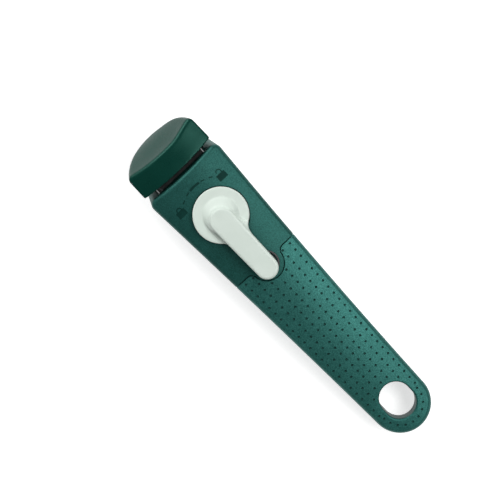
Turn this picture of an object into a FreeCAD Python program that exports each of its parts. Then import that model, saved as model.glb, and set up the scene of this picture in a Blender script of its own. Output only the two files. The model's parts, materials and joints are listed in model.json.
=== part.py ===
"""Detachable cookware handle: a spring-closed rim clamp with a turning lever, all sizes in millimetres.

The handle lies along X with the clamping head at -X and the hang hole at +X, +Z up. The origin is on the
resting plane, under the middle of the overall box. A steel slide carries the inner jaw and the head cap. A lever
turns a scroll cam under the deck, and the cam's groove pushes the slide out by a fixed amount for each degree.
Two springs pull the jaws shut. A button in the cover drops a latch tooth, which lets the slide be taken out.
"""
import FreeCAD
import Part

import math
import os

V = FreeCAD.Vector

# ---- Driving dimensions: the outer form -----------------------------------------------------------------------
length = 197.0                # from the head's lower tip to the tail's end
crest_z = 30.0                # top of the body at the lever's hub
front_half_width = 22.9       # half width at the body's front, measured at width_z
tail_radius = 16.9            # round end, measured at width_z
tail_end_inset = 1.7          # how far the drafted tail ends inside its radius at width_z
width_z = 26.0                # height at which the two widths above hold
side_radius = 2312.0          # long concave flare of each side
draft_deg = 8.0               # the sides lean inwards towards the bottom
crown_radius = 65.0           # across the top
top_radius = 800.0            # along the top
heel_x = 10.0                 # behind here the underside lifts off the table
heel_radius = 650.0
front_gap_x = 26.2            # from the head's lower tip back to the body's front face, at slant_z
slant_z = 29.5                # height at which front_gap_x holds
slant_deg = 21.0              # lean of both jaws
wall = 2.4
corner_round = 4.0
top_round = 3.0
bottom_round = 3.5
parting_z = 11.0              # plane between the covers and the base
seam_width = 0.6
seam_depth = 0.5

# ---- Driving dimensions: hang hole ----------------------------------------------------------------------------
hang_length = 19.7
hang_width = 16.5
hang_end = 7.8                # material between the hole and the tail's end
hang_rim_round = 0.9

# ---- Driving dimensions: lever, hub and marks -----------------------------------------------------------------
hub_from_front = 26.35        # hub axis behind the body's front face, at slant_z
disc_radius = 13.85
disc_under_z = 29.3
disc_top_z = 32.6
arm_under_z = 31.7
arm_top_z = 38.0
arm_root_radius = 6.3
arm_tip_radius = 5.6
arm_reach = 33.7              # hub axis to the centre of the arm's round tip
neck_round = 5.0
skirt_radius = 8.8            # base of the cone that carries the arm's root
skirt_foot_round = 1.2
hub_boss_radius = 4.7
hub_recess_radius = 6.7
hub_recess_z = 33.2
insert_radius = 3.2
insert_top_z = 36.0
lever_round = 1.1
lever_edge_round = 0.4
press_travel = 1.5
lever_angle = 90.0
pocket_clearance = 0.35
pocket_floor_z = 27.5
pocket_floor = 2.0
mark_radius = 19.0            # arc of marks about the hub
mark_depth = 0.5
mark_sink = 0.12              # the inlay lies this far below the surface
mark_stroke = 0.55

# ---- Driving dimensions: slide, cam and springs ---------------------------------------------------------------
jaw_travel = 7.0
jaw_gap = 1.0                 # between the two pads when shut
plate_half_width = 15.0
plate_under_z = 22.8
plate_thickness = 1.8
tail_half_width = 9.5
deck_thickness = 1.5
deck_gap = 0.7                # from the deck's top to the slide, filled by the rails
deck_half_width = 16.6
deck_rear_half_width = 13.5
spindle_radius = 2.5
spindle_flat = 2.1            # half of the width across the two flats
spindle_foot_radius = 1.9
cam_radius = 15.7
cam_thickness = 6.4
cam_start_radius = 5.6        # follower's distance from the hub when shut
groove_depth = 4.0
follower_radius = 1.25
roller_radius = 2.0
rod_y = 7.5
rod_z = 16.5
rod_radius = 1.2
spring_radius = 2.6           # mean radius of each jaw spring
spring_wire = 0.45            # wire radius
spring_length = 27.4
yoke_inner = 4.2              # legs of the slide's yoke, from the middle
yoke_outer = 10.4

# ---- Driving dimensions: jaws and head ------------------------------------------------------------------------
head_half_width = 22.2
head_depth = 17.2             # from the body's front face to the head's front face, along X
head_bottom_z = 4.0
head_proud = 0.3              # the head's top stands this much above the body's
head_rear_gap = 3.4           # to the body's front face, at the sides
head_rear_dish = 1.3          # how much more at the middle
head_round = 2.6
head_wall = 2.6
pad_thickness = 2.0
pad_proud = 0.9
hook_thickness = 1.8
hook_bottom_z = 6.4
inner_pad_half_width = 9.6
outer_pad_bottom_z = 5.2
outer_pad_top_z = 20.3
pad_half_width = 16.0
flange_bottom_z = 4.0
rib_count = 5
rib_groove = 1.0
rib_depth = 0.5

# ---- Driving dimensions: button and latch ---------------------------------------------------------------------
button_radius = 5.0
button_from_hub = 32.3
button_travel = 1.5
button_sink = 0.1
button_collar_radius = 7.6
button_flange_radius = 5.9
button_flange_z = 26.4
button_ledge_z = 27.8
tooth_length = 3.4
tooth_half_width = 2.4
pawl_arm = 23.0               # pivot to tooth
pawl_z = 17.2
pawl_pin_radius = 1.5

# ---- Clearances and small hardware ----------------------------------------------------------------------------
running = 0.05                # radial, shaft in bush
sliding = 0.2
stop_gap = 0.3
seat_gap = 0.1
screw_radius = 1.25
screw_head_radius = 2.4
screw_head_height = 1.6
screw_recess_z = 4.0
small_screw_radius = 1.0
small_head_radius = 1.7
post_radius = 2.5
cover_post_radius = 2.0
thread_gap = 0.05
bush_wall = 1.0
deck_bush_radius = 3.25
rail_peg_radius = 0.8
clip_thickness = 0.7
clip_bore = 1.5
washer_thickness = 0.5
cup_bore = 4.4                # in the base, under the cam
cup_radius = 7.0

# ---- Worked-out places ----------------------------------------------------------------------------------------
tip_x = -length / 2
tail_x = length / 2 - tail_radius + tail_end_inset
face_x = tip_x + front_gap_x
hub_x = face_x + hub_from_front
slant = math.tan(math.radians(slant_deg))
draft = math.tan(math.radians(draft_deg))
plate_top_z = plate_under_z + plate_thickness
deck_top_z = plate_under_z - deck_gap
deck_under_z = deck_top_z - deck_thickness
cam_top_z = deck_under_z - 0.7
cam_under_z = cam_top_z - cam_thickness
groove_z = cam_top_z - groove_depth
flange_depth = 1.1            # the outer jaw's steel lies this far behind the body's front face
hole_x = length / 2 - hang_end - hang_length / 2
button_x = hub_x + button_from_hub
button_z = crest_z - button_from_hub ** 2 / (2 * top_radius) - button_sink
pivot_x = button_x + pawl_arm
bracket_x = button_x - 12.9
yoke_x = bracket_x + deck_thickness + spring_length
hook_front = pad_proud + jaw_gap + pad_thickness    # inner jaw's steel, ahead of the body's front face
front_screws = [(face_x + 5.6, s * 12.2) for s in (-1, 1)]      # base to deck
cover_screws = [(face_x + 6.4, s * 17.3) for s in (-1, 1)]      # deck to front cover
rear_screws = [(hub_x + 17.0, s * 12.4) for s in (-1, 1)]       # base through the deck to front cover
grip_screws = [(button_x + 39.0, 0.0), (button_x + 74.0, 0.0)]  # base to grip cover
pawl_spring_x = button_x + 9.0
cover_thread_z = crest_z - wall - 1.0
tooth_top_z = plate_top_z - 0.6
tooth_front_x = button_x - tooth_length / 2
tooth_back_x = button_x + tooth_length / 2
wide_end_x = rear_screws[0][0] - post_radius - 0.45   # the slide narrows ahead of the rear posts
follower_x = hub_x - cam_start_radius
rail_front_x = cover_screws[0][0] + cover_post_radius + 0.3
rail_pegs = [(x, s * (plate_half_width + 0.45)) for x in (rail_front_x + 3.5, wide_end_x - 4.5) for s in (-1, 1)]
head_screw_places = [(s * 11.9, 16.0) for s in (-1, 1)]
clip_z = cam_under_z - 0.1 - clip_thickness
lever_shoulder_z = arm_top_z - lever_round - 0.7

FAR = 60.0                    # reaches past the part in every cut


# ---- Small solids ---------------------------------------------------------------------------------------------
def block(x0, x1, y0, y1, z0, z1):
    return Part.makeBox(x1 - x0, y1 - y0, z1 - z0, V(x0, y0, z0))


def drum(radius, z0, z1, x=0.0, y=0.0):
    return Part.makeCylinder(radius, z1 - z0, V(x, y, z0), V(0, 0, 1))


def rod_along_x(radius, x0, x1, y, z):
    return Part.makeCylinder(radius, x1 - x0, V(x0, y, z), V(1, 0, 0))


def rod_along_y(radius, y0, y1, x, z):
    return Part.makeCylinder(radius, y1 - y0, V(x, y0, z), V(0, 1, 0))


def ring(inner, outer, z0, z1, x=0.0, y=0.0):
    return drum(outer, z0, z1, x, y).cut(drum(inner, z0 - 1, z1 + 1, x, y))


def polygon_face(points):
    return Part.Face(Part.makePolygon([*points, points[0]]))


def fused(first, *rest):
    return first.fuse(list(rest)).removeSplitter() if rest else first


def rounded(shape, radius, picked):
    """The shape with every edge that picked(edge) accepts rounded."""
    edges = [e for e in shape.Edges if picked(e)]
    return shape.makeFillet(radius, edges)


def samples(edge, count=5):
    first, last = edge.ParameterRange
    return [edge.valueAt(first + (last - first) * k / (count - 1)) for k in range(count)]


def coil(x, y, z0, z1, mean, wire, turns, along_x=False):
    """An open round-wire compression spring between two heights, or between two x if along_x."""
    height = z1 - z0 - 2 * wire
    path = Part.makeLongHelix(height / turns, height, mean)
    section = Part.Wire(Part.makeCircle(wire, V(mean, 0, 0), V(0, 1, 0)))
    spring = Part.Wire(path).makePipeShell([section], True, True)
    spring.translate(V(0, 0, wire))
    if along_x:
        spring.rotate(V(0, 0, 0), V(0, 1, 0), 90)
        spring.translate(V(z0, x, y))
    else:
        spring.translate(V(x, y, z0))
    return spring


# ---- The outer form and its insets ----------------------------------------------------------------------------
def front_plane_x(z, ahead=0.0):
    """x of the body's slanted front face at a height, or of a plane so far ahead of it."""
    return face_x - (slant_z - z) * slant - ahead


def side_centre():
    """Centre of the long side arc: it passes the front width and touches the tail's circle."""
    px, py = face_x, front_half_width
    dx, dy = tail_x - px, -py
    apart = math.hypot(dx, dy)
    along = (side_radius ** 2 - (side_radius + tail_radius) ** 2 + apart ** 2) / (2 * apart)
    off = math.sqrt(side_radius ** 2 - along ** 2)
    ex, ey = dx / apart, dy / apart
    return px + along * ex - off * ey, py + along * ey + off * ex


def half_width(x, z, inset=0.0):
    """Half width of the body at x and z, without its rounds."""
    cx, cy = side_centre()
    level = inset + (width_z - z) * draft
    return cy - math.sqrt((side_radius + level) ** 2 - (x - cx) ** 2)


def plan_wire(z, inset):
    """The body's outline in plan at a height, drawn in by the draft and by inset."""
    cx, cy = side_centre()
    level = inset / math.cos(math.radians(draft_deg)) + (width_z - z) * draft
    side, tail = side_radius + level, tail_radius - level
    start = tip_x - 10
    reach = math.hypot(cx - tail_x, cy)
    touch = V(tail_x + (cx - tail_x) * tail / reach, cy * tail / reach, z)
    middle_x = (start + touch.x) / 2

    def on_side(x, sign):
        return V(x, sign * (cy - math.sqrt(side ** 2 - (x - cx) ** 2)), z)

    upper = Part.Arc(on_side(start, 1), on_side(middle_x, 1), touch).toShape()
    lower_touch = V(touch.x, -touch.y, z)
    end = Part.Arc(touch, V(tail_x + tail, 0, z), lower_touch).toShape()
    lower = Part.Arc(lower_touch, on_side(middle_x, -1), on_side(start, -1)).toShape()
    nose = Part.LineSegment(on_side(start, -1), on_side(start, 1)).toShape()
    return Part.Wire([upper, end, lower, nose])


def top_form(inset):
    """Everything under the crowned top surface, drawn in by inset."""
    centre_z = crest_z - crown_radius
    radius = crown_radius - inset
    reach = 30.0
    shoulder = centre_z + math.sqrt(radius ** 2 - reach ** 2)
    left, right = V(hub_x, -reach, shoulder), V(hub_x, reach, shoulder)
    arc = Part.Arc(left, V(hub_x, 0, centre_z + radius), right).toShape()
    floor = -20.0
    sides = Part.makePolygon([right, V(hub_x, reach, floor), V(hub_x, -reach, floor), left])
    face = Part.Face(Part.Wire([arc, *sides.Edges]))
    axis_point, axis = V(hub_x, 0, crest_z - top_radius), V(0, 1, 0)
    face.rotate(axis_point, axis, -6)
    return face.revolve(axis_point, axis, 18)


def top_z(x, y=0.0, inset=0.0):
    """Height of the crowned top surface at a point."""
    ring_centre = top_radius - crown_radius
    across = math.sqrt((crown_radius - inset) ** 2 - y ** 2)
    return crest_z - top_radius + math.sqrt((ring_centre + across) ** 2 - (x - hub_x) ** 2)


def bottom_z(x, inset=0.0):
    """Height of the underside: flat, then a long lift towards the tail."""
    if x <= heel_x:
        return inset
    return heel_radius - math.sqrt((heel_radius - inset) ** 2 - (x - heel_x) ** 2)


def profile_form(inset):
    """The side profile between the slanted front face and the underside, drawn in by inset."""
    back = length / 2 + 20
    high = crest_z + 15
    shift = -inset / math.cos(math.radians(slant_deg))
    a = V(front_plane_x(inset, shift), -FAR / 2, inset)
    b = V(heel_x, -FAR / 2, inset)
    middle = V((heel_x + back) / 2, -FAR / 2, bottom_z((heel_x + back) / 2, inset))
    c = V(back, -FAR / 2, bottom_z(back, inset))
    d = V(back, -FAR / 2, high)
    e = V(front_plane_x(high, shift), -FAR / 2, high)
    edges = [Part.makeLine(a, b), Part.Arc(b, middle, c).toShape()]
    edges += [Part.makeLine(c, d), Part.makeLine(d, e), Part.makeLine(e, a)]
    return Part.Face(Part.Wire(edges)).extrude(V(0, FAR, 0))


def body_form(inset=0.0):
    """The whole body as one solid, drawn in by inset on every side, with sharp edges."""
    low, high = -4.0, crest_z + 12
    sides = Part.makeLoft([plan_wire(low, inset), plan_wire(high, inset)], True, True)
    return sides.common(top_form(inset)).common(profile_form(inset))


def rounded_body():
    """The outer form with its corners, top edges and bottom edges rounded."""
    def on_front(p):
        return abs(p.x - front_plane_x(p.z)) < 0.02

    def on_top(p):
        return abs(p.z - top_z(p.x, p.y)) < 0.02

    def on_bottom(p):
        return abs(p.z - bottom_z(p.x)) < 0.02

    body = body_form()
    body = rounded(body, corner_round,
                   lambda e: all(on_front(p) and abs(p.y) > 10 for p in samples(e)))
    body = rounded(body, top_round, lambda e: all(on_top(p) for p in samples(e)))
    return rounded(body, bottom_round, lambda e: all(on_bottom(p) for p in samples(e)))


def hang_form(grow, z0=-5.0, z1=FAR):
    """The oval hang hole as a solid, grown by so much on every side."""
    radius = hang_width / 2 + grow
    reach = (hang_length - hang_width) / 2
    a, b = V(hole_x - reach, radius, z0), V(hole_x + reach, radius, z0)
    c, d = V(hole_x + reach, -radius, z0), V(hole_x - reach, -radius, z0)
    edges = [Part.makeLine(a, b), Part.Arc(b, V(hole_x + reach + radius, 0, z0), c).toShape()]
    edges += [Part.makeLine(c, d), Part.Arc(d, V(hole_x - reach - radius, 0, z0), a).toShape()]
    return Part.Face(Part.Wire(edges)).extrude(V(0, 0, z1 - z0))


def ahead_of_seam(shift):
    """Everything ahead of the wavy seam between front cover and grip, moved back by shift."""
    bulge, fillet = 8.4, 3.5
    seam_x = hub_x + 30.8
    cx = seam_x + fillet
    cy = math.sqrt((bulge + fillet) ** 2 - (cx - button_x) ** 2)
    r_bulge, r_fillet = bulge + shift, fillet - shift
    share = r_bulge / (bulge + fillet)
    touch = V(button_x + (cx - button_x) * share, cy * share, -5)
    line_end = V(cx - r_fillet, cy, -5)
    towards = V((line_end.x + touch.x) / 2 - cx, (line_end.y + touch.y) / 2 - cy, 0)
    towards.normalize()
    mid = V(cx, cy, -5) + towards * r_fillet

    def mirrored(p):
        return V(p.x, -p.y, p.z)

    far_out, ahead = V(line_end.x, FAR / 2, -5), V(tip_x - 20, FAR / 2, -5)
    edges = [
        Part.makeLine(far_out, line_end),
        Part.Arc(line_end, mid, touch).toShape(),
        Part.Arc(touch, V(button_x + r_bulge, 0, -5), mirrored(touch)).toShape(),
        Part.Arc(mirrored(touch), mirrored(mid), mirrored(line_end)).toShape(),
        Part.makeLine(mirrored(line_end), mirrored(far_out)),
        Part.makeLine(mirrored(far_out), mirrored(ahead)),
        Part.makeLine(mirrored(ahead), ahead),
        Part.makeLine(ahead, far_out),
    ]
    return Part.Face(Part.Wire(edges)).extrude(V(0, 0, FAR))


def slanted_slab(near, far, z0, z1, half):
    """A slab between two planes so far ahead of the body's front face, over a height and a half width."""
    corners = [(near, z0), (near, z1), (far, z1), (far, z0)]
    points = [V(front_plane_x(z, ahead), -half, z) for ahead, z in corners]
    return polygon_face(points).extrude(V(0, 2 * half, 0))


# ---- Housing: front cover, grip cover and base ----------------------------------------------------------------
def shell_form():
    """The whole housing as one hollow body, with the hang hole's sleeve."""
    cavity = body_form(wall).cut(hang_form(wall))
    hole = hang_form(0)
    shell = rounded_body().cut(cavity).cut(hole)

    def on_rim(edge):
        points = samples(edge)
        near = all(abs(p.x - hole_x) < hang_length / 2 + 0.05 and abs(p.y) < hang_width / 2 + 0.05 for p in points)
        upper = all(abs(p.z - top_z(p.x, p.y)) < 0.05 for p in points)
        lower = all(abs(p.z - bottom_z(p.x)) < 0.05 for p in points)
        return near and (upper or lower)

    return rounded(shell, hang_rim_round, on_rim)


def halfspace(z0, z1):
    return block(-FAR * 3, FAR * 3, -FAR, FAR, z0, z1)


def front_openings():
    """What the front wall is cut away for: pad window, steel flange and the slot of the slide."""
    inside = -(wall + 0.4)
    pad = pad_half_width + seat_gap
    window = slanted_slab(3, inside, outer_pad_bottom_z - seat_gap, outer_pad_top_z + seat_gap, pad)
    flange = slanted_slab(-flange_depth + seat_gap, inside, flange_bottom_z - seat_gap, deck_top_z + seat_gap,
                          deck_half_width + seat_gap)
    slot = slanted_slab(3, inside, plate_under_z - stop_gap, plate_top_z + stop_gap, plate_half_width + stop_gap)
    link = slanted_slab(-flange_depth, inside, deck_top_z, plate_under_z, plate_half_width + stop_gap)
    return fused(window, flange, slot, link)


def mark_arc(radius, start, end, stroke, z0, z1):
    """A stroke along an arc about the hub, between two angles in degrees from +X."""
    sector = ring(radius - stroke / 2, radius + stroke / 2, z0, z1, hub_x)
    reach = radius * 3
    middle = math.radians((start + end) / 2)
    corners = [V(hub_x, 0, z0 - 1)]
    corners += [V(hub_x + reach * math.cos(math.radians(a)), reach * math.sin(math.radians(a)), z0 - 1)
                for a in (start, math.degrees(middle), end)]
    return sector.common(polygon_face(corners).extrude(V(0, 0, z1 - z0 + 2)))


def lock_mark(angle, opened):
    """A plain lock sign at an angle about the hub: a filled body under a bow, which leans when open."""
    z0, z1 = crest_z - 6, crest_z + 3
    body_w, body_h, bow = 5.0, 3.4, 1.55
    sign = block(-body_h / 2, body_h / 2, -body_w / 2, body_w / 2, z0, z1)
    bow_x = body_h / 2 + (0.9 if opened else 0.2)
    arch = ring(bow - mark_stroke, bow, z0, z1, bow_x)
    arch = arch.common(block(bow_x, bow_x + bow, -bow, bow, z0, z1))
    legs = [block(body_h / 2 - 0.2, bow_x, s * bow - (mark_stroke if s > 0 else 0),
                  s * bow + (0 if s > 0 else mark_stroke), z0, z1) for s in ((-1,) if opened else (-1, 1))]
    sign = fused(sign, arch, *legs)
    sign.rotate(V(0, 0, 0), V(0, 0, 1), 180)
    at = math.radians(angle)
    sign.translate(V(hub_x + mark_radius * math.cos(at), mark_radius * math.sin(at), 0))
    return sign


def marks_form():
    """Lock signs and the arc of dashes between them, as tall prisms still to be cut to depth."""
    z0, z1 = crest_z - 6, crest_z + 3
    signs = [lock_mark(225, False), lock_mark(135, True)]
    dashes = [mark_arc(mark_radius, a, a + 6, mark_stroke, z0, z1) for a in (205, 192, 162, 149)]
    dashes.append(mark_arc(mark_radius, 171, 189, 2.2 * mark_stroke, z0, z1))
    return signs + dashes


def marks_between(upper, lower):
    """The marks where they lie between two depths under the top surface."""
    skin = top_form(upper).cut(top_form(lower))
    return [mark.common(skin) for mark in marks_form()]


def front_cover(shell):
    """The matte front cover: pocket for the hub, windows, posts and the tongue under the seam."""
    cover = shell.common(ahead_of_seam(0)).common(halfspace(parting_z, FAR))
    ahead = ahead_of_seam(0).common(body_form(wall - 0.3))
    pocket_radius = disc_radius + pocket_clearance
    cup = drum(pocket_radius + wall * 0.6, pocket_floor_z - pocket_floor, crest_z, hub_x)
    tongue_in = body_form(wall + seat_gap).cut(body_form(wall + seat_gap + 1.2))
    tongue = tongue_in.common(ahead_of_seam(2.6)).common(halfspace(parting_z + 0.2, FAR))
    tongue = tongue.cut(ahead_of_seam(-2.0))
    root = body_form(wall - 0.5).cut(body_form(wall + seat_gap + 1.2))
    root = root.common(ahead_of_seam(-1.5)).cut(ahead_of_seam(-3.5)).common(halfspace(parting_z + 0.2, FAR))
    posts = [drum(cover_post_radius, deck_top_z, crest_z, x, y) for x, y in cover_screws]
    posts += [drum(post_radius, deck_top_z, crest_z, x, y) for x, y in rear_screws]
    guide = drum(button_collar_radius, button_flange_z, crest_z, button_x)
    inner = [piece.common(body_form(wall - 0.3)) for piece in (cup, *posts, guide)]
    cover = fused(cover, *[piece.common(ahead) for piece in inner], tongue, root)
    cuts = [drum(pocket_radius, pocket_floor_z, FAR, hub_x)]
    cuts.append(drum(spindle_radius + running + bush_wall, 0, FAR, hub_x))
    cuts += [front_openings()]
    cuts += [drum(screw_radius + thread_gap, 0, cover_thread_z, x, y) for x, y in rear_screws]
    cuts += [drum(small_screw_radius + thread_gap, 0, cover_thread_z - 0.8, x, y) for x, y in cover_screws]
    cuts.append(drum(button_radius + sliding, 0, FAR, button_x))
    cuts.append(drum(button_flange_radius + sliding, 0, button_ledge_z, button_x))
    cover = cover.cut(fused(*cuts))
    groove = fused(*[m for m in marks_between(-1.0, mark_depth)])
    return cover.cut(groove)


def mark_inlay():
    """The dark inlay of the marks, just under the cover's surface."""
    return Part.Compound([solid for mark in marks_between(mark_sink, mark_depth) for solid in mark.Solids])


def grip_cover(shell):
    """The rear top cover, with posts for its screws and a rebate along the seam."""
    cover = shell.cut(ahead_of_seam(0)).common(halfspace(parting_z, FAR))
    posts = [drum(post_radius, parting_z + 0.2, crest_z, x, y) for x, y in grip_screws]
    cover = fused(cover, *[post.common(body_form(wall - 0.3)) for post in posts])
    rebate = body_form(-1).cut(body_form(seam_depth)).common(ahead_of_seam(seam_width)).cut(ahead_of_seam(-1))
    cuts = [rebate]
    cuts += [drum(screw_radius + thread_gap, 0, top_z(x) - wall - 0.6, x, y) for x, y in grip_screws]
    return cover.cut(fused(*cuts))


def base(shell):
    """The lower shell, with its bosses, the cam's rest and the latch spring's seat."""
    lower = shell.common(halfspace(-1, parting_z))
    bosses = [drum(post_radius, 0, deck_under_z - seat_gap, x, y) for x, y in front_screws + rear_screws]
    foot = screw_head_radius + sliding + 1.4
    bosses += [drum(foot, 0, screw_recess_z + 1.6, x, y) for x, y in front_screws + rear_screws]
    bosses += [drum(foot, 0, parting_z, x, y) for x, y in grip_screws]
    rest = ring(cup_bore, cup_radius, 0, cam_under_z - washer_thickness - 0.1, hub_x)
    seat = drum(1.2, 0, 7.0, pawl_spring_x)
    room = body_form(wall - 0.3)
    upper_room = room.common(halfspace(-1, FAR))
    lower = fused(lower, *[piece.common(upper_room) for piece in (*bosses, rest, seat)])
    cuts = [front_openings()]
    for x, y in front_screws + rear_screws + grip_screws:
        head_z = screw_recess_z + bottom_z(x)
        cuts.append(drum(screw_radius + 0.15, -1, FAR, x, y))
        cuts.append(drum(screw_head_radius + sliding, -1, head_z, x, y))
    lower = lower.cut(fused(*cuts))
    lip = body_form(wall + seat_gap).cut(body_form(wall + seat_gap + 1.0))
    lip = lip.common(halfspace(parting_z - 1.6, parting_z + 1.4)).common(block(pivot_x + 8, FAR * 3, -FAR, FAR, 0, FAR))
    lip = lip.cut(hang_form(wall + 0.4))
    anchor = body_form(wall - 0.5).cut(body_form(wall + seat_gap + 1.0)).common(halfspace(parting_z - 1.6, parting_z - 0.4))
    anchor = anchor.common(block(pivot_x + 8, FAR * 3, -FAR, FAR, 0, FAR)).cut(hang_form(wall + 0.4))
    return fused(lower, lip, anchor)


# ---- Fixed steel: chassis, rails, bushes, rods and pins -------------------------------------------------------
def chassis():
    """The steel deck with the outer jaw's flange, the spring bracket and the ears of the latch's pivot."""
    front_x = front_plane_x(deck_top_z, -flange_depth)
    deck = block(front_x + deck_thickness, rear_screws[0][0] + 3.0, -FAR, FAR, deck_under_z, deck_top_z)
    wide = deck.common(block(-FAR * 3, FAR * 3, -deck_half_width, deck_half_width, 0, FAR))
    ear_x = cover_screws[0][0]
    ears = deck.common(block(ear_x - 3.0, ear_x + 3.0, -FAR, FAR, 0, FAR))
    rear = block(front_x + 20, pivot_x + 3.2, -deck_rear_half_width, deck_rear_half_width, deck_under_z, deck_top_z)
    deck = fused(wide, ears, rear).common(body_form(wall + sliding))
    flange = slanted_slab(-flange_depth, -flange_depth - deck_thickness, flange_bottom_z, deck_top_z, deck_half_width)
    link = slanted_slab(-flange_depth, -flange_depth - 3.2, deck_under_z, deck_top_z, deck_half_width)
    bracket = block(bracket_x, bracket_x + deck_thickness, -rod_y - 2.9, rod_y + 2.9,
                    rod_z - spring_radius - 1.0, deck_under_z)
    pivots = [block(pivot_x - 3, pivot_x + 3, min(s * 4.2, s * 5.7), max(s * 4.2, s * 5.7), pawl_z - 3, deck_under_z)
              for s in (-1, 1)]
    cuts = [drum(deck_bush_radius, 0, FAR, hub_x)]
    slot = follower_radius + 0.35
    outer_x = follower_x - jaw_travel
    cuts += [block(outer_x, follower_x, -slot, slot, 0, FAR), drum(slot, 0, FAR, outer_x), drum(slot, 0, FAR, follower_x)]
    cuts += [drum(screw_radius + thread_gap, 0, FAR, x, y) for x, y in front_screws]
    cuts += [drum(screw_radius + 0.15, 0, FAR, x, y) for x, y in rear_screws]
    cuts += [drum(small_screw_radius + 0.15, 0, FAR, x, y) for x, y in cover_screws]
    cuts += [drum(rail_peg_radius + thread_gap, 0, FAR, x, y) for x, y in rail_pegs]
    cuts.append(block(tooth_front_x - 1.0, tooth_back_x + 0.5, -tooth_half_width - 0.35, tooth_half_width + 0.35, 0, FAR))
    for s in (-1, 1):
        inner, outer = s * (yoke_inner - 0.3), s * (yoke_outer + 0.4)
        cuts.append(block(yoke_x - jaw_travel - 0.6, yoke_x + plate_thickness + 0.5,
                          min(inner, outer), max(inner, outer), deck_under_z - 0.5, FAR))
        cuts.append(rod_along_x(rod_radius + thread_gap, bracket_x - 1, bracket_x + 5, s * rod_y, rod_z))
    cuts.append(rod_along_y(pawl_pin_radius + thread_gap, -10, 10, pivot_x, pawl_z))
    return fused(deck, flange, link, bracket, *pivots).cut(fused(*cuts))


def rail(side):
    """One low-friction channel that guides the slide's edge, with two pegs in the deck."""
    inner, outer = plate_half_width - 1.6, plate_half_width + 1.3
    bar = block(rail_front_x, wide_end_x - 0.4, inner, outer, deck_top_z, plate_top_z + 0.8)
    bar = bar.common(body_form(wall + seat_gap))
    channel = block(rail_front_x - 1, FAR, 0, plate_half_width + sliding, plate_under_z - running, plate_top_z + seat_gap)
    bar = bar.cut(channel)
    bar = bar.cut(drum(disc_radius + pocket_clearance + wall * 0.6 + seat_gap, pocket_floor_z - pocket_floor - seat_gap,
                       FAR, hub_x))
    pegs = [drum(rail_peg_radius, deck_under_z + 0.2, deck_top_z, x, y) for x, y in rail_pegs if y > 0]
    bar = fused(bar, *pegs)
    return bar if side > 0 else bar.mirror(V(0, 0, 0), V(0, 1, 0))


def hub_bush():
    """The flanged bush of the spindle in the cover's pocket floor."""
    return ring(spindle_radius + running, spindle_radius + running + bush_wall,
                pocket_floor_z - pocket_floor, pocket_floor_z, hub_x)


def deck_bush():
    """The spindle's bush in the deck, with a flange that the cam runs against."""
    bore = spindle_radius + running
    sleeve = ring(bore, deck_bush_radius, deck_under_z, deck_top_z, hub_x)
    return fused(sleeve, ring(bore, deck_bush_radius + 0.6, cam_top_z + 0.15, deck_under_z, hub_x))


def cam_washer():
    return ring(cup_bore + 0.1, cup_radius, cam_under_z - 0.05 - washer_thickness, cam_under_z - 0.05, hub_x)


def rib_grooves(front, z0, z1):
    """Level grooves across a pad's gripping face, as cutting slabs; front is the face's place."""
    pitch = (z1 - z0) / (rib_count + 1)
    away = math.copysign(1, front - pad_proud - jaw_gap / 2)
    return [slanted_slab(front - 2 * away, front + away * rib_depth, z0 + pitch * k - rib_groove / 2,
                         z0 + pitch * k + rib_groove / 2, FAR / 2) for k in range(1, rib_count + 1)]


def outer_pad():
    """The silicone pad of the fixed jaw, seated on the steel flange."""
    pad = slanted_slab(pad_proud, -flange_depth, outer_pad_bottom_z, outer_pad_top_z, pad_half_width)
    pad = rounded(pad, 2.2, lambda e: abs(e.tangentAt(e.FirstParameter).y) < 0.1
                  and abs(e.tangentAt(e.FirstParameter).z) < 0.5)
    return pad.cut(fused(*rib_grooves(pad_proud, outer_pad_bottom_z, outer_pad_top_z)))


def spring_rods():
    rods = []
    for s in (-1, 1):
        shank = rod_along_x(rod_radius, bracket_x, yoke_x + plate_thickness + 1.2, s * rod_y, rod_z)
        rods.append(fused(shank, rod_along_x(rod_radius + 0.8, bracket_x - 1.2, bracket_x, s * rod_y, rod_z)))
    return Part.Compound(rods)


def jaw_springs():
    start, end = bracket_x + deck_thickness + running, yoke_x - running
    return Part.Compound([coil(s * rod_y, rod_z, start, end, spring_radius, spring_wire, 9, True) for s in (-1, 1)])


def pawl_pin():
    return rod_along_y(pawl_pin_radius, -5.9, 5.9, pivot_x, pawl_z)


def screw(x, y, seat, tip, shank, head):
    """A pan-head screw driven upwards: its head lies under seat, with a hexagon socket."""
    body = drum(shank, seat, tip, x, y)
    top = drum(head, seat - screw_head_height, seat, x, y)
    socket = Part.Face(Part.makePolygon([V(x + 1.0 * math.cos(math.radians(60 * k)),
                                           y + 1.0 * math.sin(math.radians(60 * k)),
                                           seat - screw_head_height - 0.1) for k in range(7)]))
    return fused(body, top).cut(socket.extrude(V(0, 0, 1.0)))


def base_screws():
    return Part.Compound([screw(x, y, screw_recess_z, deck_top_z - 0.1, screw_radius, screw_head_radius)
                          for x, y in front_screws])


def cover_screws_rear():
    return Part.Compound([screw(x, y, screw_recess_z, cover_thread_z - 0.4, screw_radius, screw_head_radius)
                          for x, y in rear_screws])


def deck_screws():
    return Part.Compound([screw(x, y, deck_under_z, cover_thread_z - 1.2, small_screw_radius, small_head_radius)
                          for x, y in cover_screws])


def grip_screw_set():
    return Part.Compound([screw(x, y, screw_recess_z + bottom_z(x), top_z(x) - wall - 1.0, screw_radius,
                                screw_head_radius) for x, y in grip_screws])


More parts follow.
